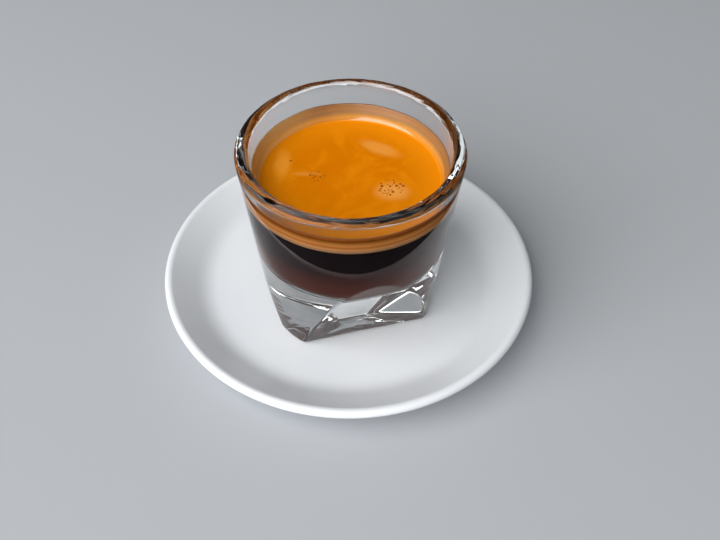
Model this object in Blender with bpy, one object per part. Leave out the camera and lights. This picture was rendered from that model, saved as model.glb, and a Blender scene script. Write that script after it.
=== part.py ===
"""A double espresso in a heavy glass with a three-sided foot, standing on its saucer.

Units are metres with +Z up. The origin is on the ground, under the middle of the saucer.
Four pieces: the saucer, the glass, the coffee in it and the crema that floats on the coffee.
"""

import math

import bmesh
import bpy
from mathutils import Matrix

MM = 0.001
GAP = 0.3 * MM
WELD = 0.01 * MM
SHARP_ANGLE = math.radians(35)

# Saucer: a round porcelain dish with a flat middle, a wall that bends up and rolls over into
# a round lip, and a foot ring. The floor's radius follows from the wall and the roll.
SAUCER_RADIUS = 60.0 * MM
SAUCER_HEIGHT = 13.2 * MM
FLOOR_HEIGHT = 6.5 * MM
WALL_RADIUS = 51.5 * MM
WALL_SLOPE = 0.62
LIP_RADIUS = 1.5 * MM
LIP_UNDER = -50.0
LIP_STEPS = 14
LIP_TOP = SAUCER_RADIUS - LIP_RADIUS
ROLL_RADIUS = 2.2 * MM
ROLL_ANGLE = math.atan(WALL_SLOPE)
ROLL_STEPS = 4
ROLL_START = LIP_TOP - ROLL_RADIUS * math.sin(ROLL_ANGLE)
ROLL_HEIGHT = SAUCER_HEIGHT - ROLL_RADIUS * (1.0 - math.cos(ROLL_ANGLE))
WALL_HEIGHT = ROLL_HEIGHT - WALL_SLOPE * (ROLL_START - WALL_RADIUS)
FLOOR_RADIUS = WALL_RADIUS - 2.0 * (WALL_HEIGHT - FLOOR_HEIGHT) / WALL_SLOPE
BODY_THICKNESS = 3.4 * MM
FOOT_INNER = 31.0 * MM
FOOT_OUTER = 35.0 * MM
FOOT_SLOPE = 0.8 * MM
UNDER_STEPS = 6
DISH_STEPS = 8
SAUCER_STEPS = 72

# Glass: a cone that widens upwards, with three flat facets cut into its thick base.
# It stands a little in front of the saucer's middle.
GLASS_X = 0.6 * MM
GLASS_Y = -8.1 * MM
GLASS_BOTTOM = FLOOR_HEIGHT + GAP
GLASS_TOP = 68.9 * MM
BASE_RADIUS = 26.1 * MM
BASE_ROUND = 2.2 * MM
HOLLOW_HEIGHT = 2.4 * MM
HOLLOW_STEPS = 5
RIM_RADIUS = 32.4 * MM
RIM_ROUND = 1.95 * MM
INNER_TAPER = 0.09
WELL_HEIGHT = 32.0 * MM
WELL_ROUND = 7.0 * MM
BASE_STEPS = 4
RIM_STEPS = 10
WELL_STEPS = 8
GLASS_STEPS = 72

# Facets: each leans outwards, FACET_FOOT from the axis at the bottom
FACETS = 3
FACET_FOOT = 16.7 * MM
FACET_LEAN = 0.37
FACET_TURN = math.radians(15.7)
BLOCK_MARGIN = 3.0 * MM

# Drink: black coffee under a thin crema that has climbed the wall
CREMA_TOP = 56.9 * MM
CREMA_BOTTOM = 55.8 * MM
CREMA_DISC_RADIUS = 25.6 * MM
FILM_TOP = 61.8 * MM
FILM_THICKNESS = 0.5 * MM
BANK_HEIGHT = 59.2 * MM
BANK_THICKNESS = 0.9 * MM
BANK_CURVE = 2.0
BANK_STEPS = 5


def clear_scene():
    """Remove whatever the file opened with."""
    for thing in list(bpy.data.objects):
        bpy.data.objects.remove(thing, do_unlink=True)


def arc(centre_r, centre_z, radius, start, end, steps):
    """Points of an arc in the (radius, height) plane, angles in degrees."""
    points = []
    for i in range(steps + 1):
        angle = math.radians(start + (end - start) * i / steps)
        points.append((centre_r + radius * math.cos(angle), centre_z + radius * math.sin(angle)))
    return points


def turned(name, profile, steps, centre=(0.0, 0.0)):
    """Spin a profile that starts and ends on the axis into one closed solid."""
    mesh = bmesh.new()
    ring = [mesh.verts.new((r, 0.0, z)) for r, z in profile]
    edges = [mesh.edges.new(pair) for pair in zip(ring, ring[1:])]
    bmesh.ops.spin(
        mesh, geom=ring + edges, cent=(0, 0, 0), axis=(0, 0, 1),
        angle=math.tau, steps=steps, use_merge=True,
    )
    bmesh.ops.remove_doubles(mesh, verts=mesh.verts, dist=WELD)
    bmesh.ops.recalc_face_normals(mesh, faces=mesh.faces)
    bmesh.ops.translate(mesh, verts=mesh.verts, vec=(centre[0], centre[1], 0.0))
    data = bpy.data.meshes.new(name)
    mesh.to_mesh(data)
    mesh.free()
    data.shade_smooth()
    data.set_sharp_from_angle(angle=SHARP_ANGLE)
    piece = bpy.data.objects.new(name, data)
    bpy.context.collection.objects.link(piece)
    return piece


def finish(piece, colour, roughness, transmission=0.0):
    """Give a piece its own material."""
    material = bpy.data.materials.new(piece.name)
    material.use_nodes = True
    shader = material.node_tree.nodes["Principled BSDF"]
    shader.inputs["Base Color"].default_value = (*colour, 1.0)
    shader.inputs["Roughness"].default_value = roughness
    shader.inputs["Metallic"].default_value = 0.0
    shader.inputs["Transmission Weight"].default_value = transmission
    piece.data.materials.append(material)


def dish_height(radius):
    """Height of the upper face: flat in the middle, then bending up into a straight wall.

    The wall starts at WALL_RADIUS and meets the roll at ROLL_START.
    """
    bend = WALL_RADIUS - FLOOR_RADIUS
    share = min(1.0, max(0.0, (radius - FLOOR_RADIUS) / bend))
    rise = bend * (share ** 3 - share ** 4 / 2.0) + max(0.0, radius - WALL_RADIUS)
    return FLOOR_HEIGHT + WALL_SLOPE * rise


def saucer_profile():
    """Outline of the saucer from the middle of its underside round to the middle of its floor."""
    under = FLOOR_HEIGHT - BODY_THICKNESS
    lip_z = SAUCER_HEIGHT - LIP_RADIUS
    roll_z = SAUCER_HEIGHT - ROLL_RADIUS
    top = 90.0
    points = [(0.0, under), (FOOT_INNER - FOOT_SLOPE, under), (FOOT_INNER, 0.0)]
    points.append((FOOT_OUTER, 0.0))
    foot_edge = FOOT_OUTER + FOOT_SLOPE
    for i in range(UNDER_STEPS):
        radius = foot_edge + (ROLL_START - foot_edge) * i / (UNDER_STEPS - 1)
        points.append((radius, dish_height(radius) - BODY_THICKNESS))
    points += arc(LIP_TOP, lip_z, LIP_RADIUS, LIP_UNDER, top, LIP_STEPS)
    points += arc(LIP_TOP, roll_z, ROLL_RADIUS, top, top + math.degrees(ROLL_ANGLE), ROLL_STEPS)[1:]
    for i in range(1, DISH_STEPS):
        radius = ROLL_START + (FLOOR_RADIUS - ROLL_START) * i / DISH_STEPS
        points.append((radius, dish_height(radius)))
    points += [(FLOOR_RADIUS, FLOOR_HEIGHT), (0.0, FLOOR_HEIGHT)]
    return points


def saucer():
    """The saucer that carries the glass."""
    piece = turned("saucer", saucer_profile(), SAUCER_STEPS)
    finish(piece, (0.62, 0.65, 0.68), 0.12)
    return piece


def wall_radius(height):
    """Radius of the inside of the glass at a height above the well's rounding."""
    top = RIM_RADIUS - 2.0 * RIM_ROUND
    return top - INNER_TAPER * (GLASS_TOP - RIM_ROUND - height)


def well_floor(clearance):
    """The rounded corner between well floor and wall, inset by a clearance, floor first."""
    round_z = WELL_HEIGHT + WELL_ROUND
    round_r = wall_radius(round_z) - WELL_ROUND
    return arc(round_r, round_z, WELL_ROUND - clearance, -90.0, 0.0, WELL_STEPS)


def glass_profile():
    """Outline of the plain glass, from the hollow under it round the rim and down into the well."""
    rim_r = RIM_RADIUS - RIM_ROUND
    rim_z = GLASS_TOP - RIM_ROUND
    points = []
    for i in range(HOLLOW_STEPS):
        share = i / HOLLOW_STEPS
        height = HOLLOW_HEIGHT * (1.0 - share ** 2) ** 2
        points.append(((BASE_RADIUS - BASE_ROUND) * share, GLASS_BOTTOM + height))
    points += arc(BASE_RADIUS - BASE_ROUND, GLASS_BOTTOM + BASE_ROUND, BASE_ROUND, -90.0, 0.0, BASE_STEPS)
    points += arc(rim_r, rim_z, RIM_ROUND, 0.0, 180.0, RIM_STEPS)
    points += reversed(well_floor(0.0))
    points.append((0.0, WELL_HEIGHT))
    return points


def facet_block():
    """The frustum whose sides are the facets. The glass keeps what lies inside it."""
    low = GLASS_BOTTOM - BLOCK_MARGIN
    high = GLASS_TOP + BLOCK_MARGIN
    near = FACET_FOOT + FACET_LEAN * (low - GLASS_BOTTOM)
    far = FACET_FOOT + FACET_LEAN * (high - GLASS_BOTTOM)
    corner = 1.0 / math.cos(math.pi / FACETS)
    mesh = bmesh.new()
    bmesh.ops.create_cone(
        mesh, cap_ends=True, segments=FACETS, depth=high - low,
        radius1=near * corner, radius2=far * corner,
        matrix=Matrix.Translation((0.0, 0.0, (low + high) / 2.0)),
    )
    turn = Matrix.Rotation(FACET_TURN, 3, "Z")
    bmesh.ops.rotate(mesh, verts=mesh.verts, cent=(0, 0, 0), matrix=turn)
    bmesh.ops.translate(mesh, verts=mesh.verts, vec=(GLASS_X, GLASS_Y, 0.0))
    data = bpy.data.meshes.new("facet_block")
    mesh.to_mesh(data)
    mesh.free()
    block = bpy.data.objects.new("facet_block", data)
    bpy.context.collection.objects.link(block)
    block.hide_render = True
    block.display_type = "WIRE"
    return block


def glass():
    """The glass, turned and then cut down to its facets."""
    piece = turned("glass", glass_profile(), GLASS_STEPS, (GLASS_X, GLASS_Y))
    cut = piece.modifiers.new("facets", "BOOLEAN")
    cut.operation = "INTERSECT"
    cut.object = facet_block()
    finish(piece, (0.93, 0.96, 0.95), 0.02, 1.0)
    return piece


def coffee():
    """The black coffee, from the well's floor up to the crema."""
    top = CREMA_BOTTOM - GAP
    corner = well_floor(GAP)
    points = [(0.0, corner[0][1])] + corner
    points.append((wall_radius(top) - GAP, top))
    points.append((0.0, top))
    piece = turned("coffee", points, GLASS_STEPS, (GLASS_X, GLASS_Y))
    finish(piece, (0.012, 0.004, 0.003), 0.1)
    return piece


def crema():
    """The crema: a thin layer with a bank of foam and a film where it has climbed the wall."""
    bank_r = wall_radius(BANK_HEIGHT) - GAP - BANK_THICKNESS
    points = [(0.0, CREMA_BOTTOM), (wall_radius(CREMA_BOTTOM) - GAP, CREMA_BOTTOM)]
    points.append((wall_radius(FILM_TOP) - GAP, FILM_TOP))
    points.append((wall_radius(FILM_TOP) - GAP - FILM_THICKNESS, FILM_TOP))
    for i in range(BANK_STEPS + 1):
        share = 1.0 - i / BANK_STEPS
        radius = CREMA_DISC_RADIUS + (bank_r - CREMA_DISC_RADIUS) * share
        points.append((radius, CREMA_TOP + (BANK_HEIGHT - CREMA_TOP) * share ** BANK_CURVE))
    points.append((0.0, CREMA_TOP))
    piece = turned("crema", points, GLASS_STEPS, (GLASS_X, GLASS_Y))
    finish(piece, (0.62, 0.17, 0.01), 0.3)
    return piece


clear_scene()
saucer()
glass()
coffee()
crema()
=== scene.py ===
"""A double espresso in a small heavy glass on its saucer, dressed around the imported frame.

Units are metres with +Z up. The origin is on the ground, under the middle of the saucer,
and the glass stands a little in front of that middle.
"""

import logging
import math
import random
from dataclasses import dataclass, field
from enum import Enum

import bmesh
import bpy
from mathutils import Matrix, Vector, noise

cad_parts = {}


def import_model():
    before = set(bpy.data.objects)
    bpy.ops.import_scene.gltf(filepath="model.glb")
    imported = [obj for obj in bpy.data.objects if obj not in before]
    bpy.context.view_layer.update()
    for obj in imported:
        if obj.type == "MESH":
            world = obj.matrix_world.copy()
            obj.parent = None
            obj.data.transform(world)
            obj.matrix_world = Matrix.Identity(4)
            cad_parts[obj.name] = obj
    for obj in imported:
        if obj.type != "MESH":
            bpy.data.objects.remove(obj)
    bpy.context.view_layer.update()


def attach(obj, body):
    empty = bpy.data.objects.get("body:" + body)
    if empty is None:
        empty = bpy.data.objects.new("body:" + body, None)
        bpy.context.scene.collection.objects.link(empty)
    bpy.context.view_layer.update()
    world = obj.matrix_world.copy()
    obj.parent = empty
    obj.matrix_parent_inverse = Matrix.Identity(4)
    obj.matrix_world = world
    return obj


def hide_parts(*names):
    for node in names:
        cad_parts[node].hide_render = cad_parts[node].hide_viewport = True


LOG = logging.getLogger("espresso")

MM = 0.001
WELD = 0.002 * MM
BODY = "root"

Pair = tuple[float, float]
Colour = tuple[float, float, float]
Stop = tuple[float, Colour]


class Calc(Enum):
    """The sums that the materials use."""

    ADD = "ADD"
    SUBTRACT = "SUBTRACT"
    MULTIPLY = "MULTIPLY"


def arc(centre: Pair, radius: float, start: float, end: float, steps: int) -> list[Pair]:
    """Give the points of an arc in the plane of radius and height.

    Args:
        centre: The arc's centre as radius and height.
        radius: The arc's own radius.
        start: The first point's angle in degrees.
        end: The last point's angle in degrees.
        steps: How many equal steps the arc takes.

    Returns:
        The points from start to end, both included.
    """
    points = []
    for step in range(steps + 1):
        angle = math.radians(start + (end - start) * step / steps)
        points.append((centre[0] + radius * math.cos(angle), centre[1] + radius * math.sin(angle)))
    return points


def run(start: Pair, end: Pair, steps: int) -> list[Pair]:
    """Give evenly spaced points between two points, without the two themselves.

    Args:
        start: The point before the first one.
        end: The point after the last one.
        steps: How many equal steps lie between start and end.

    Returns:
        The points in between.
    """
    points = []
    for step in range(1, steps):
        share = step / steps
        points.append((start[0] + (end[0] - start[0]) * share, start[1] + (end[1] - start[1]) * share))
    return points


def spun(profile: list[Pair], steps: int) -> bmesh.types.BMesh:
    """Turn a profile that starts and ends on the axis into one closed mesh.

    Args:
        profile: Points of radius and height.
        steps: How many steps the full turn takes.

    Returns:
        The mesh, around the Z axis, with its faces pointing outwards.
    """
    mesh = bmesh.new()
    verts = [mesh.verts.new((radius, 0.0, height)) for radius, height in profile]
    edges = [mesh.edges.new(pair) for pair in zip(verts, verts[1:])]
    bmesh.ops.spin(
        mesh, geom=verts + edges, cent=(0, 0, 0), axis=(0, 0, 1),
        angle=math.tau, steps=steps, use_merge=True,
    )
    bmesh.ops.remove_doubles(mesh, verts=mesh.verts, dist=WELD)
    bmesh.ops.recalc_face_normals(mesh, faces=mesh.faces)
    return mesh


def placed(mesh: bmesh.types.BMesh, name: str, centre: Pair = (0.0, 0.0)) -> bpy.types.Object:
    """Move a mesh to its place and make it a smooth object that sits at the origin.

    Args:
        mesh: The mesh, which this call frees.
        name: The piece's name.
        centre: Where the mesh's own axis goes, as X and Y.

    Returns:
        The new object.
    """
    bmesh.ops.translate(mesh, verts=mesh.verts, vec=(centre[0], centre[1], 0.0))
    data = bpy.data.meshes.new(name)
    mesh.to_mesh(data)
    mesh.free()
    data.shade_smooth()
    piece = bpy.data.objects.new(name, data)
    bpy.context.collection.objects.link(piece)
    return piece


def hand_over(piece: bpy.types.Object, slot: str, material: bpy.types.Material, node: str = "") -> None:
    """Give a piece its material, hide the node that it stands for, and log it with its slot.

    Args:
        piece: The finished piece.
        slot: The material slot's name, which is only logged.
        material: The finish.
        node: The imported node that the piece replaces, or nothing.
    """
    piece.data.materials.append(material)
    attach(piece, BODY)
    if node:
        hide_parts(node)
    LOG.info("%s: %d faces, slot %s", piece.name, len(piece.data.polygons), slot)


class Recipe:
    """A material in the making, with short calls for the nodes that the finishes share."""

    def __init__(self, name: str) -> None:
        """Start a material that has a shader and reads the object's own coordinates."""
        self.material = bpy.data.materials.new(name)
        self.material.use_nodes = True
        self.tree = self.material.node_tree
        self.shader = self.tree.nodes["Principled BSDF"]
        self.place = self.tree.nodes.new("ShaderNodeTexCoord").outputs["Object"]

    def fix(self, **values: float | tuple[float, ...]) -> None:
        """Set sockets of the shader. An underscore in a name stands for a space."""
        for name, value in values.items():
            self.shader.inputs[name.replace("_", " ")].default_value = value

    def feed(self, name: str, source: bpy.types.NodeSocket) -> None:
        """Link a socket of the shader to the end of a chain of nodes."""
        self.tree.links.new(source, self.shader.inputs[name])

    def moved(self, centre: Pair, unit: Pair = (1.0, 1.0), turn: float = 0.0) -> bpy.types.NodeSocket:
        """Give the object's coordinates, seen from a point of the plan.

        Args:
            centre: The point that becomes the origin, as X and Y.
            unit: The lengths that become one, along the turned X and Y.
            turn: How far X and Y are turned, in radians.

        Returns:
            The socket with the new coordinates.
        """
        node = self.tree.nodes.new("ShaderNodeMapping")
        node.vector_type = "TEXTURE"
        node.inputs["Location"].default_value = (*centre, 0.0)
        node.inputs["Rotation"].default_value = (0.0, 0.0, turn)
        node.inputs["Scale"].default_value = (*unit, 1.0)
        self.tree.links.new(self.place, node.inputs["Vector"])
        return node.outputs["Vector"]

    def grain(self, scale: float, detail: float = 2.0, rough: float = 0.5,
              where: bpy.types.NodeSocket | None = None, twist: float = 0.0) -> bpy.types.NodeSocket:
        """Give a soft random pattern between 0 and 1.

        Args:
            scale: How many spots there are to a metre.
            detail: How many finer layers there are.
            rough: How strong the finer layers are.
            where: The coordinates, or the object's own.
            twist: How much the pattern swirls.

        Returns:
            The socket with the pattern.
        """
        node = self.tree.nodes.new("ShaderNodeTexNoise")
        node.inputs["Scale"].default_value = scale
        node.inputs["Detail"].default_value = detail
        node.inputs["Roughness"].default_value = rough
        node.inputs["Distortion"].default_value = twist
        self.tree.links.new(where or self.place, node.inputs["Vector"])
        return node.outputs["Fac"]

    def along(self, axis: str) -> bpy.types.NodeSocket:
        """Give the place along the axis X, Y or Z in metres."""
        node = self.tree.nodes.new("ShaderNodeSeparateXYZ")
        self.tree.links.new(self.place, node.inputs["Vector"])
        return node.outputs[axis]

    def reach(self, where: bpy.types.NodeSocket) -> bpy.types.NodeSocket:
        """Give the distance from the origin of some coordinates, seen from above.

        Args:
            where: The coordinates.

        Returns:
            The socket with the distance in metres.
        """
        flat = self.tree.nodes.new("ShaderNodeVectorMath")
        flat.operation = "MULTIPLY"
        flat.inputs[1].default_value = (1.0, 1.0, 0.0)
        self.tree.links.new(where, flat.inputs[0])
        length = self.tree.nodes.new("ShaderNodeVectorMath")
        length.operation = "LENGTH"
        self.tree.links.new(flat.outputs["Vector"], length.inputs[0])
        return length.outputs["Value"]

    def attribute(self, name: str) -> bpy.types.NodeSocket:
        """Give a number that the piece's mesh holds under a name."""
        node = self.tree.nodes.new("ShaderNodeAttribute")
        node.attribute_name = name
        return node.outputs["Fac"]

    def span(self, source: bpy.types.NodeSocket, low: float, high: float,
             start: float = 0.0, end: float = 1.0) -> bpy.types.NodeSocket:
        """Turn a range of numbers into another, with soft ends and no overshoot.

        Args:
            source: The number.
            low: The source's value that gives start.
            high: The source's value that gives end.
            start: The result at low.
            end: The result at high.

        Returns:
            The socket with the result.
        """
        node = self.tree.nodes.new("ShaderNodeMapRange")
        node.interpolation_type = "SMOOTHSTEP"
        node.inputs["From Min"].default_value = low
        node.inputs["From Max"].default_value = high
        node.inputs["To Min"].default_value = start
        node.inputs["To Max"].default_value = end
        self.tree.links.new(source, node.inputs["Value"])
        return node.outputs["Result"]

    def calc(self, kind: Calc, first: bpy.types.NodeSocket,
             second: bpy.types.NodeSocket | float) -> bpy.types.NodeSocket:
        """Join two numbers by a sum.

        Args:
            kind: The sum.
            first: The first number.
            second: The second number, a socket or a constant.

        Returns:
            The socket with the result.
        """
        node = self.tree.nodes.new("ShaderNodeMath")
        node.operation = kind.value
        self.tree.links.new(first, node.inputs[0])
        if isinstance(second, float):
            node.inputs[1].default_value = second
        else:
            self.tree.links.new(second, node.inputs[1])
        return node.outputs["Value"]

    def ramp(self, source: bpy.types.NodeSocket, stops: list[Stop]) -> bpy.types.NodeSocket:
        """Turn a number between 0 and 1 into a colour.

        Args:
            source: The number.
            stops: Places on the ramp with their colours, in rising order.

        Returns:
            The socket with the colour.
        """
        node = self.tree.nodes.new("ShaderNodeValToRGB")
        elements = node.color_ramp.elements
        while len(elements) < len(stops):
            elements.new(1.0)
        for element, (position, colour) in zip(elements, stops):
            element.position = position
            element.color = (*colour, 1.0)
        self.tree.links.new(source, node.inputs["Fac"])
        return node.outputs["Color"]

    def blend(self, share: bpy.types.NodeSocket, first: bpy.types.NodeSocket | Colour,
              second: bpy.types.NodeSocket | Colour) -> bpy.types.NodeSocket:
        """Mix two colours.

        Args:
            share: How much of the second colour shows.
            first: The first colour, a socket or a constant.
            second: The second colour, a socket or a constant.

        Returns:
            The socket with the mixed colour.
        """
        node = self.tree.nodes.new("ShaderNodeMix")
        node.data_type = "RGBA"
        colour_inputs = [socket for socket in node.inputs if socket.type == "RGBA"]
        self.tree.links.new(share, node.inputs["Factor"])
        for socket, value in zip(colour_inputs, (first, second)):
            if isinstance(value, tuple):
                socket.default_value = (*value, 1.0)
            else:
                self.tree.links.new(value, socket)
        return next(socket for socket in node.outputs if socket.type == "RGBA")

    def mirrored(self, refraction: float) -> bpy.types.NodeSocket:
        """Give the share of light that a boundary sends back.

        Args:
            refraction: The inside's refraction, divided by the outside's.

        Returns:
            The socket with the share.
        """
        node = self.tree.nodes.new("ShaderNodeFresnel")
        node.inputs["IOR"].default_value = refraction
        return node.outputs["Fac"]

    def bump(self, source: bpy.types.NodeSocket, depth: float, strength: float = 1.0) -> None:
        """Let a pattern raise and lower the surface, as far as the light shows it.

        Args:
            source: The pattern.
            depth: The relief's depth in metres.
            strength: How much of the relief shows.
        """
        node = self.tree.nodes.new("ShaderNodeBump")
        node.inputs["Distance"].default_value = depth
        node.inputs["Strength"].default_value = strength
        self.tree.links.new(source, node.inputs["Height"])
        self.tree.links.new(node.outputs["Normal"], self.shader.inputs["Normal"])


@dataclass(frozen=True)
class PorcelainGlaze:
    """White glaze over porcelain, with a bare, matt foot ring."""

    colour: Colour = (0.79, 0.822, 0.860)
    pooled: Colour = (0.76, 0.797, 0.840)
    bare: Colour = (0.66, 0.63, 0.58)
    bare_height: float = 0.5 * MM
    bare_rough: float = 0.5
    gloss: Pair = (0.16, 0.24)
    refraction: float = 1.52
    cloud_scale: float = 35.0
    peel_scale: float = 260.0
    peel_depth: float = 0.03 * MM
    peel_strength: float = 0.35

    def material(self) -> bpy.types.Material:
        """Give the glaze as a material."""
        recipe = Recipe("porcelain_glaze")
        clouds = recipe.grain(self.cloud_scale, detail=3.0)
        glaze = recipe.ramp(clouds, [(0.35, self.pooled), (0.62, self.colour)])
        foot = recipe.span(recipe.along("Z"), self.bare_height, self.bare_height * 0.6)
        recipe.feed("Base Color", recipe.blend(foot, glaze, self.bare))
        recipe.feed("Roughness", recipe.calc(
            Calc.ADD, recipe.span(clouds, 0.3, 0.7, *self.gloss),
            recipe.span(foot, 0.0, 1.0, 0.0, self.bare_rough),
        ))
        recipe.bump(recipe.grain(self.peel_scale, detail=1.0), self.peel_depth, self.peel_strength)
        recipe.fix(IOR=self.refraction, Coat_Weight=0.0)
        return recipe.material


@dataclass(frozen=True)
class PressedGlass:
    """Clear soda glass, which mirrors little of what it faces squarely, and that in a brown tint."""

    colour: Colour = (0.975, 0.99, 0.985)
    refraction: float = 1.52
    mirror_tint: Colour = (0.42, 0.11, 0.06)

    def material(self) -> bpy.types.Material:
        """Give the glass as a material."""
        recipe = Recipe("pressed_glass")
        recipe.fix(
            Base_Color=(*self.colour, 1.0), IOR=self.refraction, Transmission_Weight=1.0,
            Roughness=0.0, Specular_Tint=(*self.mirror_tint, 1.0),
        )
        return recipe.material


@dataclass(frozen=True)
class BlackCoffee:
    """Espresso against glass: nearly black, with painted light low down, where brown stands for the glow of
    light that reaches the coffee through the glass, and a mirror at a flat angle.

    Glass bends light more than coffee, so where a view grazes their boundary it is sent back whole.
    """

    deep: Colour = (0.0030, 0.0002, 0.0012)
    # painted light: the coffee is the same all through; this brown low down stands for the glow of light
    # that reaches it through the glass
    brown: Colour = (0.070, 0.010, 0.003)
    heights: Pair = (48.0 * MM, 38.0 * MM)
    against_glass: float = 1.33 / 1.52

    def material(self) -> bpy.types.Material:
        """Give the coffee as a material."""
        recipe = Recipe("black_coffee")
        # mask for the painted glow, rising towards the bottom
        low = recipe.span(recipe.along("Z"), *self.heights)
        grazed = recipe.mirrored(self.against_glass)
        body = recipe.blend(low, self.deep, self.brown)
        recipe.feed("Base Color", recipe.blend(grazed, body, (1.0, 1.0, 1.0)))
        recipe.feed("Metallic", grazed)
        recipe.fix(Roughness=0.0, Specular_IOR_Level=0.0)
        return recipe.material


@dataclass(frozen=True)
class Patch:
    """A paler place on the crema. Most are paler foam; the first one is a painted highlight."""

    centre: Pair
    unit: Pair
    turn: float
    colour: Colour
    strength: float


@dataclass(frozen=True)
class CremaFoam:
    """Fine golden foam: deeper in the middle, paler at the wall, brown where it dried on the glass. Some of
    its colour is painted light: a highlight patch, part of the bank's highlight, a backlit film on the
    left, and a shadow line under the film's top edge.

    Heights such as edge and wet_heights count from the foam's level.
    """

    axis: Pair
    disc: float
    level: float
    film_top: float
    pale_and_highlight_patches: tuple[Patch, ...]
    middle: Colour = (0.69, 0.190, 0.0007)
    golden: Colour = (0.78, 0.245, 0.0030)
    deep: Colour = (0.66, 0.176, 0.0006)
    golden_start: float = 0.55
    swirl_scale: float = 62.0
    swirl_rough: float = 0.55
    swirl_twist: float = 1.4
    grain_scale: float = 1500.0
    grain_share: float = 0.10
    grain_depth: float = 0.02 * MM
    grain_strength: float = 0.4
    patch_core: float = 0.35
    patch_wobble: float = 0.8
    film_wave: float = 0.8 * MM
    film_start: float = 0.2 * MM
    outside_start: float = -1.0 * MM
    edge: Pair = (0.05 * MM, 0.35 * MM)
    wet_heights: Pair = (0.10 * MM, 0.35 * MM)
    dry_heights: Pair = (1.6 * MM, 2.6 * MM)
    dry_share: float = 0.6
    gloss: Pair = (0.40, 0.16)
    refraction: float = 1.5
    # painted light: the film on the left is painted paler, for the lamp's light that shines through it from
    # behind
    backlit_film_paint: Colour = (0.85, 0.56, 0.20)
    backlit_side: Pair = (8.0 * MM, 28.0 * MM)
    backlit_share: float = 0.7
    inside: tuple[Stop, ...] = (
        (0.0, (0.60, 0.23, 0.016)),
        # paler foam on the bank, partly painted highlight: it also stands for part of the bank's wet
        # highlight
        (0.07, (0.62, 0.285, 0.056)),
        (0.20, (0.52, 0.265, 0.054)),
        (0.46, (0.31, 0.177, 0.073)),
        (0.62, (0.25, 0.145, 0.060)),
        (0.78, (0.33, 0.160, 0.054)),
        (1.0, (0.25, 0.130, 0.055)),
    )
    outside: tuple[Stop, ...] = (
        (0.0, (0.41, 0.217, 0.110)),
        (0.10, (0.70, 0.320, 0.108)),
        (0.29, (0.50, 0.155, 0.029)),
        (0.49, (0.69, 0.270, 0.070)),
        (0.71, (0.46, 0.165, 0.025)),
        # painted shadow: this near-black band under the film's top edge is the shadow line along that edge
        (0.90, (0.16, 0.028, 0.0004)),
        (1.0, (0.37, 0.100, 0.020)),
    )

    def material(self) -> bpy.types.Material:
        """Give the crema as a material."""
        recipe = Recipe("crema_foam")
        around = recipe.moved(self.axis)
        radius = recipe.reach(around)
        height = recipe.along("Z")
        at_glass = recipe.attribute("at_glass")
        swirl = recipe.grain(
            self.swirl_scale, detail=4.0, rough=self.swirl_rough, where=around, twist=self.swirl_twist,
        )
        sway = recipe.calc(Calc.SUBTRACT, swirl, 0.5)
        grain = recipe.grain(self.grain_scale, detail=2.0)

        body = recipe.ramp(
            recipe.span(swirl, 0.25, 0.75), [(0.0, self.deep), (0.5, self.middle), (1.0, self.golden)],
        )
        outer = recipe.span(radius, self.disc * self.golden_start, self.disc)
        body = recipe.blend(outer, body, self.golden)
        wobble = recipe.calc(Calc.MULTIPLY, sway, self.patch_wobble)
        # paler foam patches, and one painted highlight
        for patch in self.pale_and_highlight_patches:
            centre = (self.axis[0] + patch.centre[0], self.axis[1] + patch.centre[1])
            far = recipe.calc(Calc.ADD, recipe.reach(recipe.moved(centre, patch.unit, patch.turn)), wobble)
            share = recipe.span(far, 1.0, self.patch_core, 0.0, patch.strength)
            body = recipe.blend(share, body, patch.colour)

        wavy = recipe.calc(Calc.ADD, height, recipe.calc(Calc.MULTIPLY, sway, self.film_wave))
        climb = recipe.span(wavy, self.level + self.film_start, self.film_top)
        inside = recipe.ramp(climb, list(self.inside))
        # painted light: blend the film on the left side toward the pale backlit colour
        left = recipe.span(
            recipe.along("X"), self.axis[0] - self.backlit_side[0], self.axis[0] - self.backlit_side[1],
            0.0, self.backlit_share,
        )
        inside = recipe.blend(left, inside, self.backlit_film_paint)
        climb = recipe.span(wavy, self.level + self.outside_start, self.film_top)
        outside = recipe.ramp(climb, list(self.outside))
        colour = recipe.blend(self.above(recipe, height, self.edge), body, inside)
        colour = recipe.blend(at_glass, colour, outside)
        fine = recipe.span(grain, 0.35, 0.65, 0.0, self.grain_share)
        recipe.feed("Base Color", recipe.blend(fine, colour, self.deep))

        wet = recipe.calc(
            Calc.SUBTRACT, self.above(recipe, height, self.wet_heights),
            self.above(recipe, height, self.dry_heights, self.dry_share),
        )
        wet = recipe.calc(Calc.MULTIPLY, wet, recipe.span(at_glass, 0.0, 1.0, 1.0, 0.0))
        recipe.feed("Roughness", recipe.span(wet, 0.0, 1.0, *self.gloss))
        recipe.feed("Specular IOR Level", recipe.span(wet, 0.0, 1.0, 0.0, 1.0))
        recipe.bump(grain, self.grain_depth, self.grain_strength)
        recipe.fix(IOR=self.refraction)
        return recipe.material

    def above(self, recipe: Recipe, height: bpy.types.NodeSocket, heights: Pair,
              share: float = 1.0) -> bpy.types.NodeSocket:
        """Give a number that rises from 0 between two heights over the foam.

        Args:
            recipe: The material in the making.
            height: The place along Z.
            heights: Where the number starts and stops rising, over the foam's level.
            share: The number that it reaches.

        Returns:
            The socket with the number.
        """
        low, high = heights
        return recipe.span(height, self.level + low, self.level + high, 0.0, share)


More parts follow.
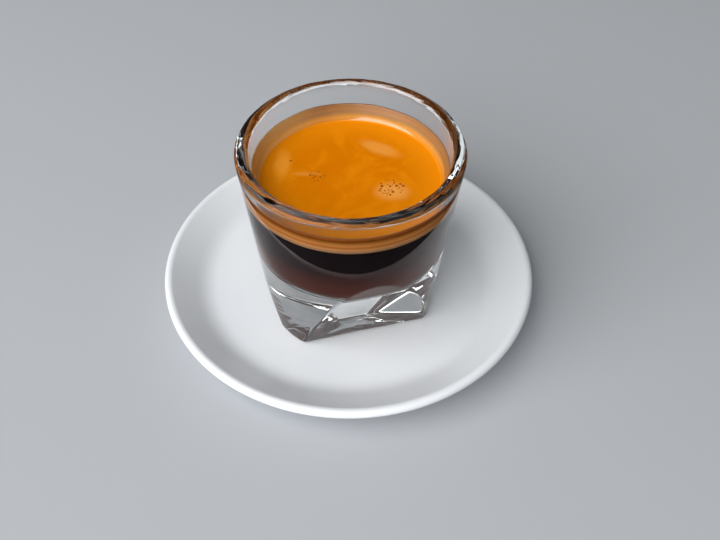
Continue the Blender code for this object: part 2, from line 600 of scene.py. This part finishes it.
@dataclass(frozen=True)
class BubbleSkin:
    """The thin dark skin of a bubble, through which the coffee shows."""

    colour: Colour = (0.26, 0.066, 0.0012)
    edge: Colour = (0.44, 0.14, 0.006)
    mottle_scale: float = 900.0

    def material(self) -> bpy.types.Material:
        """Give the skin as a material."""
        recipe = Recipe("bubble_skin")
        recipe.feed("Base Color", recipe.ramp(
            recipe.grain(self.mottle_scale, detail=1.0), [(0.4, self.colour), (0.7, self.edge)],
        ))
        recipe.fix(Roughness=0.3, IOR=1.33, Specular_IOR_Level=0.2)
        return recipe.material


@dataclass(frozen=True)
class FloorPaint:
    """The plain pale floor, with a painted dark reflection: glossy rays see it near black, so the glass
    mirrors it dimly.
    """

    colour: Colour = (0.44, 0.46, 0.49)
    # painted reflection: the colour that glossy rays see instead of the pale paint
    mirrored: Colour = (0.05, 0.05, 0.06)

    def material(self) -> bpy.types.Material:
        """Give the floor's paint as a material."""
        recipe = Recipe("pale_floor")
        light_path = recipe.tree.nodes.new("ShaderNodeLightPath")
        mirrored = recipe.calc(
            Calc.SUBTRACT, light_path.outputs["Is Glossy Ray"], light_path.outputs["Is Transmission Ray"],
        )
        recipe.feed("Base Color", recipe.blend(mirrored, self.colour, self.mirrored))
        recipe.fix(Roughness=0.6, Specular_IOR_Level=0.2)
        return recipe.material


@dataclass
class Saucer:
    """A round porcelain saucer with a round lip, a flat middle and a foot ring."""

    radius: float = 60.0 * MM
    height: float = 13.2 * MM
    floor: float = 6.5 * MM
    wall_radius: float = 51.5 * MM
    wall_slope: float = 0.62
    lip: float = 1.5 * MM
    roll: float = 2.2 * MM
    thickness: float = 3.4 * MM
    foot: Pair = (31.0 * MM, 35.0 * MM)
    foot_slope: float = 0.8 * MM
    foot_round: float = 0.6 * MM
    steps: int = 256
    finish: PorcelainGlaze = field(default_factory=PorcelainGlaze)

    def roll_start(self) -> Pair:
        """Give the radius and height at which the straight wall begins to roll over."""
        turn = math.atan(self.wall_slope)
        radius = self.radius - self.lip - self.roll * math.sin(turn)
        return radius, self.height - self.roll * (1.0 - math.cos(turn))

    def floor_radius(self) -> float:
        """Give the radius at which the flat middle ends, so that the bend meets the wall."""
        radius, height = self.roll_start()
        wall_height = height - self.wall_slope * (radius - self.wall_radius)
        return self.wall_radius - 2.0 * (wall_height - self.floor) / self.wall_slope

    def dish(self, radius: float) -> float:
        """Give the height of the upper face: flat, then bending up into a straight wall."""
        bend = self.wall_radius - self.floor_radius()
        share = min(1.0, max(0.0, (radius - self.floor_radius()) / bend))
        rise = bend * (share ** 3 - share ** 4 / 2.0) + max(0.0, radius - self.wall_radius)
        return self.floor + self.wall_slope * rise

    def profile(self) -> list[Pair]:
        """Give the outline from under the middle, round the lip, to the middle of the floor."""
        under = self.floor - self.thickness
        inner, outer = self.foot
        corner = self.foot_round
        lip_top = self.radius - self.lip
        wall_end = self.roll_start()[0]
        floor_end = self.floor_radius()
        points = [(0.0, under), *run((0.0, under), (inner - self.foot_slope, under), 10)]
        points.append((inner - self.foot_slope, under))
        points += arc((inner + corner, corner), corner, 195.0, 270.0, 5)
        points += run((inner + corner, 0.0), (outer - corner, 0.0), 4)
        points += arc((outer - corner, corner), corner, -90.0, -15.0, 5)
        start = outer + self.foot_slope
        for step in range(27):
            radius = start + (wall_end - start) * step / 26
            points.append((radius, self.dish(radius) - self.thickness))
        points += arc((lip_top, self.height - self.lip), self.lip, -50.0, 90.0, 28)
        turn = math.degrees(math.atan(self.wall_slope))
        points += arc((lip_top, self.height - self.roll), self.roll, 90.0, 90.0 + turn, 12)[1:]
        for step in range(1, 40):
            radius = wall_end + (floor_end - wall_end) * step / 40
            points.append((radius, self.dish(radius)))
        points.append((floor_end, self.floor))
        points += run((floor_end, self.floor), (0.0, self.floor), 16)
        points.append((0.0, self.floor))
        return points

    def build(self) -> None:
        """Make the saucer."""
        piece = placed(spun(self.profile(), self.steps), "glazed_saucer")
        hand_over(piece, "porcelain", self.finish.material(), "saucer")


@dataclass
class Tumbler:
    """A cone of heavy glass with a round rim, a deep solid base and three flat facets."""

    axis: Pair = (0.6 * MM, -8.1 * MM)
    bottom: float = 6.55 * MM
    top: float = 68.9 * MM
    base_radius: float = 26.1 * MM
    base_round: float = 2.2 * MM
    recess: float = 2.4 * MM
    rim_radius: float = 32.4 * MM
    rim_round: float = 1.95 * MM
    taper: float = 0.09
    well: float = 32.0 * MM
    well_round: float = 7.0 * MM
    facets: int = 3
    facet_foot: float = 16.7 * MM
    facet_lean: float = 0.37
    facet_turn: float = math.radians(285.7)
    facet_soft: float = 2.2 * MM
    facet_reach: float = 1.4
    arch_angle: float = 0.245
    arch_top: float = 46.0 * MM
    ripple: float = 0.02 * MM
    ripple_scale: float = 70.0
    ripple_fade: float = 6.0 * MM
    rim_wave: float = 0.24 * MM
    rim_waves: Pair = (8.0, 2.9)
    rim_twist: Pair = (4.0, 0.7)
    foot_wave: float = 0.40 * MM
    foot_scale: float = 210.0
    foot_rings: int = 36
    side_rings: int = 104
    steps: int = 288
    finish: PressedGlass = field(default_factory=PressedGlass)

    def inner_radius(self, height: float) -> float:
        """Give the radius of the inside above the well's rounding."""
        return self.rim_radius - 2.0 * self.rim_round - self.taper * (self.top - self.rim_round - height)

    def outer_radius(self, height: float) -> float:
        """Give the radius of the plain cone at a height."""
        low = self.bottom + self.base_round
        high = self.top - self.rim_round
        return self.base_radius + (self.rim_radius - self.base_radius) * (height - low) / (high - low)

    def well_corner(self, clearance: float, steps: int) -> list[Pair]:
        """Give the rounding between well and wall, from the floor up.

        Args:
            clearance: How far the rounding is set in from the glass. Below zero it reaches in.
            steps: How many steps the rounding takes.

        Returns:
            The points of the rounding.
        """
        centre_z = self.well + self.well_round
        centre = (self.inner_radius(centre_z) - self.well_round, centre_z)
        return arc(centre, self.well_round - clearance, -90.0, 0.0, steps)

    def profile(self) -> list[Pair]:
        """Give the outline from under the base, over the rim, to the middle of the well."""
        foot = (self.base_radius - self.base_round, self.bottom)
        shoulder = (self.base_radius, self.bottom + self.base_round)
        rim_side = (self.rim_radius, self.top - self.rim_round)
        rim_in = (self.rim_radius - 2.0 * self.rim_round, self.top - self.rim_round)
        points = []
        for step in range(self.foot_rings):
            share = step / self.foot_rings
            points.append((foot[0] * share, self.bottom + self.recess * (1.0 - share ** 2) ** 2))
        points += arc((foot[0], shoulder[1]), self.base_round, -90.0, 0.0, 9)
        waist = (self.outer_radius(self.arch_top), self.arch_top)
        points += run(shoulder, waist, self.side_rings)
        points += [waist, *run(waist, rim_side, 26)]
        points += arc((self.rim_radius - self.rim_round, rim_side[1]), self.rim_round, 0.0, 180.0, 32)
        corner = self.well_corner(0.0, 18)
        points += run(rim_in, corner[-1], 34)
        points += reversed(corner)
        points += run(corner[0], (0.0, self.well), 14)
        points.append((0.0, self.well))
        return points

    def cut(self, angle: float, height: float) -> float:
        """Give how far the facets let the wall reach, as a share of the plain cone's radius.

        Args:
            angle: The direction from the axis.
            height: The height above the ground.

        Returns:
            A number up to 1. Where cone and facet meet, the step between them is rounded.
        """
        cone = self.outer_radius(max(height, self.bottom))
        plane = self.facet_foot + self.facet_lean * (height - self.bottom)
        share = 1.0
        for facet in range(self.facets):
            turn = angle - self.facet_turn - math.tau * facet / self.facets
            turn = (turn + math.pi) % math.tau - math.pi
            if abs(turn) > self.facet_reach:
                continue
            bend = math.hypot(turn, self.arch_angle)
            soft = 4.0 * self.facet_soft * (1.0 / math.cos(bend / 2.0) - 1.0)
            reach = plane / math.cos(turn)
            overlap = max(0.0, 1.0 - abs(cone - reach) / soft)
            share = min(share, (min(cone, reach) - overlap ** 2 * soft / 4.0) / cone)
        return share

    def streak(self, vert: bmesh.types.BMVert) -> None:
        """Press one point of the rim a little inwards, along streaks that wind round the rim."""
        centre_r, centre_z = self.rim_radius - self.rim_round, self.top - self.rim_round
        angle = math.atan2(vert.co.y, vert.co.x)
        out, up = math.hypot(vert.co.x, vert.co.y) - centre_r, vert.co.z - centre_z
        over = math.atan2(up, out)
        around, across = self.rim_waves
        turns, sway = self.rim_twist
        spot = Vector((
            around * math.cos(angle), around * math.sin(angle),
            across * (over + sway * math.sin(turns * angle)),
        ))
        press = self.rim_wave * (0.5 + 0.5 * noise.noise(spot)) * math.sin(max(0.0, over)) ** 0.5
        grow = 1.0 - press / self.rim_round
        radius = centre_r + out * grow
        vert.co = Vector((radius * math.cos(angle), radius * math.sin(angle), centre_z + up * grow))

    def shape(self, mesh: bmesh.types.BMesh) -> None:
        """Press facets, ripple, the rim's streaks and the uneven foot into the spun glass."""
        high = self.top - 2.5 * self.rim_round
        foot = self.base_radius - self.base_round
        for vert in mesh.verts:
            radius = math.hypot(vert.co.x, vert.co.y)
            if radius < WELD:
                continue
            height = vert.co.z
            if height > self.top - self.rim_round:
                self.streak(vert)
                continue
            middle = (self.inner_radius(height) + self.outer_radius(height)) / 2.0
            outside = height < self.well - 2.0 * MM or radius > middle
            wave = noise.noise(Vector(vert.co) * self.ripple_scale) * self.ripple
            fade = min(1.0, max(0.0, (high - height) / self.ripple_fade))
            grow = 1.0 + wave * fade / radius
            if outside:
                grow *= self.cut(math.atan2(vert.co.y, vert.co.x), height)
            if height < self.bottom + self.recess + WELD and radius < foot:
                press = 0.5 + 0.5 * noise.noise(Vector((vert.co.x, vert.co.y, 0.0)) * self.foot_scale)
                vert.co.z += self.foot_wave * press * (1.0 - (radius / foot) ** 6)
            vert.co.x *= grow
            vert.co.y *= grow

    def build(self) -> None:
        """Make the glass."""
        mesh = spun(self.profile(), self.steps)
        self.shape(mesh)
        piece = placed(mesh, "faceted_glass", self.axis)
        hand_over(piece, "glass", self.finish.material(), "glass")


@dataclass
class Coffee:
    """The black coffee, which fills the well and reaches just into the glass."""

    glass: Tumbler
    top: float = 55.95 * MM
    reach: float = 0.3 * MM
    steps: int = 192
    finish: BlackCoffee = field(default_factory=BlackCoffee)

    def build(self) -> None:
        """Make the coffee."""
        corner = self.glass.well_corner(-self.reach, 18)
        edge = (self.glass.inner_radius(self.top) + self.reach, self.top)
        points = [(0.0, corner[0][1]), *run((0.0, corner[0][1]), corner[0], 10), *corner]
        points += [*run(corner[-1], edge, 20), edge, *run(edge, (0.0, self.top), 12), (0.0, self.top)]
        piece = placed(spun(points, self.steps), "coffee_in_glass", self.glass.axis)
        hand_over(piece, "coffee", self.finish.material(), "coffee")


@dataclass
class Crema:
    """The crema: a foam disc with a bank against the wall and a film that has dried above it."""

    glass: Tumbler
    level: float = 56.9 * MM
    bottom: float = 55.8 * MM
    disc: float = 25.6 * MM
    film_top: float = 61.8 * MM
    film: float = 0.5 * MM
    bank_top: float = 59.4 * MM
    bank: float = 0.9 * MM
    reach: float = 0.4 * MM
    relief: float = 0.05 * MM
    relief_scale: float = 160.0
    edge_wave: float = 0.25 * MM
    edge_scale: float = 120.0
    steps: int = 256
    pale_and_highlight_patches: tuple[Patch, ...] = (
        # painted highlight: this first patch stands for the soft reflection of a bright light behind the
        # glass; the others are paler foam
        Patch((8.4 * MM, 12.9 * MM), (8.6 * MM, 3.4 * MM), math.radians(-30.0), (0.82, 0.345, 0.058), 0.72),
        Patch((11.8 * MM, -6.0 * MM), (6.6 * MM, 5.4 * MM), 0.0, (0.88, 0.42, 0.10), 0.6),
        Patch((-13.2 * MM, 1.0 * MM), (5.6 * MM, 1.3 * MM), 0.0, (0.83, 0.345, 0.052), 0.45),
        Patch((-20.0 * MM, 5.0 * MM), (3.6 * MM, 9.0 * MM), 0.0, (0.95, 0.38, 0.04), 0.6),
    )

    def profile(self) -> list[Pair]:
        """Give the outline from under the middle, up the glass and back over the foam."""
        low = (self.glass.inner_radius(self.bottom) + self.reach, self.bottom)
        wall_top = self.glass.inner_radius(self.film_top)
        high = (wall_top + self.reach, self.film_top)
        lip = (wall_top - self.film * 0.35, self.film_top)
        bank = (self.glass.inner_radius(self.bank_top) - self.bank, self.bank_top)
        points = [(0.0, self.bottom), *run((0.0, self.bottom), low, 12), low]
        points += [*run(low, high, 24), high, *run(high, lip, 3)]
        points += [lip, *run(lip, bank, 12)]
        for step in range(25):
            share = 1.0 - step / 24
            radius = self.disc + (bank[0] - self.disc) * share
            points.append((radius, self.level + (self.bank_top - self.level) * share ** 2.0))
        points += run((self.disc, self.level), (0.0, self.level), 60)
        points.append((0.0, self.level))
        return points

    def shape(self, mesh: bmesh.types.BMesh) -> None:
        """Give the foam its soft relief and its edges their waves."""
        for vert in mesh.verts:
            radius = math.hypot(vert.co.x, vert.co.y)
            spot = Vector(vert.co)
            around = noise.noise(Vector((spot.x, spot.y, 0.0)) * self.edge_scale)
            if vert.co.z > self.level - WELD and radius < self.disc + 1.2 * MM:
                calm = min(1.0, radius / (3.0 * MM))
                vert.co.z += self.relief * noise.noise(spot * self.relief_scale) * calm
            elif vert.co.z > self.bank_top:
                share = (vert.co.z - self.bank_top) / (self.film_top - self.bank_top)
                vert.co.z += self.edge_wave * around * share
            elif vert.co.z < self.bottom + 0.3 * MM and radius > self.disc:
                vert.co.z += 0.4 * self.edge_wave * around

    def mark_side(self, piece: bpy.types.Object) -> None:
        """Write how far each point lies on the side that touches the glass."""
        values = piece.data.attributes.new("at_glass", "FLOAT", "POINT")
        for vert in piece.data.vertices:
            radius = math.hypot(vert.co.x - self.glass.axis[0], vert.co.y - self.glass.axis[1])
            inside = self.glass.inner_radius(vert.co.z)
            values.data[vert.index].value = 1.0 if radius > inside + 0.05 * MM else 0.0

    def build(self) -> None:
        """Make the crema."""
        mesh = spun(self.profile(), self.steps)
        self.shape(mesh)
        piece = placed(mesh, "crema_foam", self.glass.axis)
        self.mark_side(piece)
        foam = CremaFoam(self.glass.axis, self.disc, self.level, self.film_top, self.pale_and_highlight_patches)
        hand_over(piece, "crema", foam.material(), "crema")


@dataclass(frozen=True)
class Cluster:
    """A place where bubbles have gathered."""

    centre: Pair
    reach: Pair
    count: int
    sizes: Pair


@dataclass
class Bubbles:
    """Small bubbles that have come up through the crema."""

    crema: Crema
    seed: int = 11
    clusters: tuple[Cluster, ...] = (
        Cluster((11.4 * MM, -4.6 * MM), (3.7 * MM, 3.6 * MM), 28, (0.20 * MM, 0.46 * MM)),
        Cluster((-9.8 * MM, 0.4 * MM), (2.4 * MM, 2.6 * MM), 13, (0.18 * MM, 0.38 * MM)),
        Cluster((-17.7 * MM, 6.6 * MM), (0.1 * MM, 0.1 * MM), 1, (0.36 * MM, 0.40 * MM)),
    )
    rise: float = 0.02 * MM
    flatness: float = 0.34
    spacing: float = 1.25
    finish: BubbleSkin = field(default_factory=BubbleSkin)

    def spots(self) -> list[tuple[float, float, float]]:
        """Give each bubble's place on the foam and its radius, with none on top of another."""
        draw = random.Random(self.seed)
        found: list[tuple[float, float, float]] = []
        for cluster in self.clusters:
            goal = len(found) + cluster.count
            while len(found) < goal:
                turn, far = math.tau * draw.random(), draw.random() ** 0.6
                x = cluster.centre[0] + cluster.reach[0] * far * math.cos(turn)
                y = cluster.centre[1] + cluster.reach[1] * far * math.sin(turn)
                size = cluster.sizes[0] + (cluster.sizes[1] - cluster.sizes[0]) * draw.random() ** 1.6
                if all(math.hypot(x - a, y - b) > self.spacing * (size + c) for a, b, c in found):
                    found.append((x, y, size))
        return found

    def build(self) -> None:
        """Make all bubbles as one piece of low domes."""
        mesh = bmesh.new()
        for x, y, size in self.spots():
            place = Matrix.Translation((x, y, self.crema.level + self.rise))
            squash = Matrix.Diagonal((1.0, 1.0, self.flatness, 1.0))
            bmesh.ops.create_uvsphere(
                mesh, u_segments=20, v_segments=12, radius=size, matrix=place @ squash,
            )
        piece = placed(mesh, "crema_bubbles", self.crema.glass.axis)
        hand_over(piece, "crema", self.finish.material())


@dataclass(frozen=True)
class Window:
    """A soft bright place in the sky, by its direction and height in degrees."""

    azimuth: float
    elevation: float
    edges: Pair
    strength: float


@dataclass
class Studio:
    """The floor, the soft lights and the camera at the photograph's angle."""

    floor_size: float = 4.0
    lens: float = 45.0
    sensor: float = 36.0
    camera_place: tuple[float, float, float] = (3.6 * MM, -203.82 * MM, 227.24 * MM)
    pitch: float = math.radians(46.943)
    roll: float = math.radians(0.743)
    sky: Colour = (0.88, 0.94, 1.0)
    sky_low: float = 0.05
    sky_high: float = 0.11
    sky_scale: float = 2.6
    sky_clouds: Pair = (0.42, 0.62)
    windows: tuple[Window, ...] = (
        Window(72.0, 45.0, (50.0, 18.0), 0.20),
        Window(185.0, 30.0, (34.0, 10.0), 0.20),
        Window(150.0, 76.0, (24.0, 12.0), 0.6),
    )
    horizon: Colour = (0.56, 0.58, 0.62)
    lamp_place: tuple[float, float, float] = (-0.79, -0.90, 0.95)
    lamp_aim: float = 30.0 * MM
    lamp_size: float = 2.0
    lamp_power: float = 54.0
    lamp_colour: Colour = (1.0, 0.985, 0.965)
    floor_paint: FloorPaint = field(default_factory=FloorPaint)

    def floor(self) -> None:
        """Lay the plain pale floor."""
        mesh = bmesh.new()
        bmesh.ops.create_grid(mesh, x_segments=4, y_segments=4, size=self.floor_size / 2.0)
        plane = placed(mesh, "floor")
        plane.data.materials.append(self.floor_paint.material())

    def lamp(self) -> None:
        """Hang the soft lamp, which shines at the glass from the front left."""
        data = bpy.data.lights.new("front_left", "AREA")
        data.size = self.lamp_size
        data.energy = self.lamp_power
        data.color = self.lamp_colour
        lamp = bpy.data.objects.new("front_left", data)
        bpy.context.collection.objects.link(lamp)
        lamp.location = self.lamp_place
        aim = Vector((0.0, 0.0, self.lamp_aim)) - Vector(self.lamp_place)
        lamp.rotation_euler = aim.to_track_quat("-Z", "Y").to_euler()

    def light(self) -> None:
        """Set the sky, with its soft bright places, and how the colours are shown."""
        world = bpy.data.worlds.new("soft_sky")
        bpy.context.scene.world = world
        world.use_nodes = True
        tree = world.node_tree
        background = tree.nodes["Background"]
        direction = tree.nodes.new("ShaderNodeTexCoord").outputs["Generated"]
        clouds = tree.nodes.new("ShaderNodeTexNoise")
        clouds.inputs["Scale"].default_value = self.sky_scale
        clouds.inputs["Detail"].default_value = 3.0
        tree.links.new(direction, clouds.inputs["Vector"])
        strength = tree.nodes.new("ShaderNodeMapRange")
        strength.inputs["From Min"].default_value = self.sky_clouds[0]
        strength.inputs["From Max"].default_value = self.sky_clouds[1]
        strength.inputs["To Min"].default_value = self.sky_low
        strength.inputs["To Max"].default_value = self.sky_high
        tree.links.new(clouds.outputs["Fac"], strength.inputs["Value"])
        background.inputs["Color"].default_value = (*self.sky, 1.0)
        level = strength.outputs["Result"]
        light_path = tree.nodes.new("ShaderNodeLightPath")
        for window in self.windows:
            level = self.brighten(tree, window, direction, light_path, level)
        tree.links.new(level, background.inputs["Strength"])
        plain = tree.nodes.new("ShaderNodeBackground")
        plain.inputs["Color"].default_value = (*self.horizon, 1.0)
        seen = tree.nodes.new("ShaderNodeMixShader")
        tree.links.new(light_path.outputs["Is Camera Ray"], seen.inputs["Fac"])
        tree.links.new(background.outputs["Background"], seen.inputs[1])
        tree.links.new(plain.outputs["Background"], seen.inputs[2])
        tree.links.new(seen.outputs["Shader"], tree.nodes["World Output"].inputs["Surface"])
        bpy.context.scene.view_settings.view_transform = "Standard"

    def brighten(self, tree: bpy.types.NodeTree, window: Window, direction: bpy.types.NodeSocket,
                 light_path: bpy.types.Node, level: bpy.types.NodeSocket) -> bpy.types.NodeSocket:
        """Add one bright place to the sky, which lights no matt surface.

        Args:
            tree: The sky's nodes.
            window: The bright place.
            direction: The direction in which the sky is seen.
            light_path: The node that tells what kind of ray sees it.
            level: The sky's strength so far.

        Returns:
            The socket with the sky's new strength.
        """
        turn, rise = math.radians(window.azimuth), math.radians(window.elevation)
        facing = tree.nodes.new("ShaderNodeVectorMath")
        facing.operation = "DOT_PRODUCT"
        facing.inputs[1].default_value = (
            math.cos(rise) * math.cos(turn), math.cos(rise) * math.sin(turn), math.sin(rise),
        )
        tree.links.new(direction, facing.inputs[0])
        dimmed = tree.nodes.new("ShaderNodeMath")
        dimmed.operation = "MULTIPLY_ADD"
        dimmed.inputs[1].default_value = -window.strength
        dimmed.inputs[2].default_value = window.strength
        tree.links.new(light_path.outputs["Is Diffuse Ray"], dimmed.inputs[0])
        glow = tree.nodes.new("ShaderNodeMapRange")
        glow.interpolation_type = "SMOOTHSTEP"
        glow.inputs["From Min"].default_value = math.cos(math.radians(window.edges[0]))
        glow.inputs["From Max"].default_value = math.cos(math.radians(window.edges[1]))
        tree.links.new(facing.outputs["Value"], glow.inputs["Value"])
        tree.links.new(dimmed.outputs["Value"], glow.inputs["To Max"])
        total = tree.nodes.new("ShaderNodeMath")
        total.operation = "ADD"
        tree.links.new(level, total.inputs[0])
        tree.links.new(glow.outputs["Result"], total.inputs[1])
        return total.outputs["Value"]

    def camera(self) -> None:
        """Place the camera."""
        data = bpy.data.cameras.new("camera")
        data.lens = self.lens
        data.sensor_width = self.sensor
        camera = bpy.data.objects.new("camera", data)
        bpy.context.collection.objects.link(camera)
        tilt = Matrix.Rotation(math.pi / 2.0 - self.pitch, 4, "X")
        spin = Matrix.Rotation(self.roll, 4, "Z")
        camera.matrix_world = Matrix.Translation(self.camera_place) @ tilt @ spin
        bpy.context.scene.camera = camera

    def build(self) -> None:
        """Set up floor, light and camera."""
        self.floor()
        self.light()
        self.lamp()
        self.camera()


def main() -> None:
    """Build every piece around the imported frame."""
    logging.basicConfig(level=logging.INFO, format="%(message)s")
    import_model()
    Studio().build()
    Saucer().build()
    glass = Tumbler()
    glass.build()
    Coffee(glass).build()
    crema = Crema(glass)
    crema.build()
    Bubbles(crema).build()


if __name__ == "__main__":
    main()
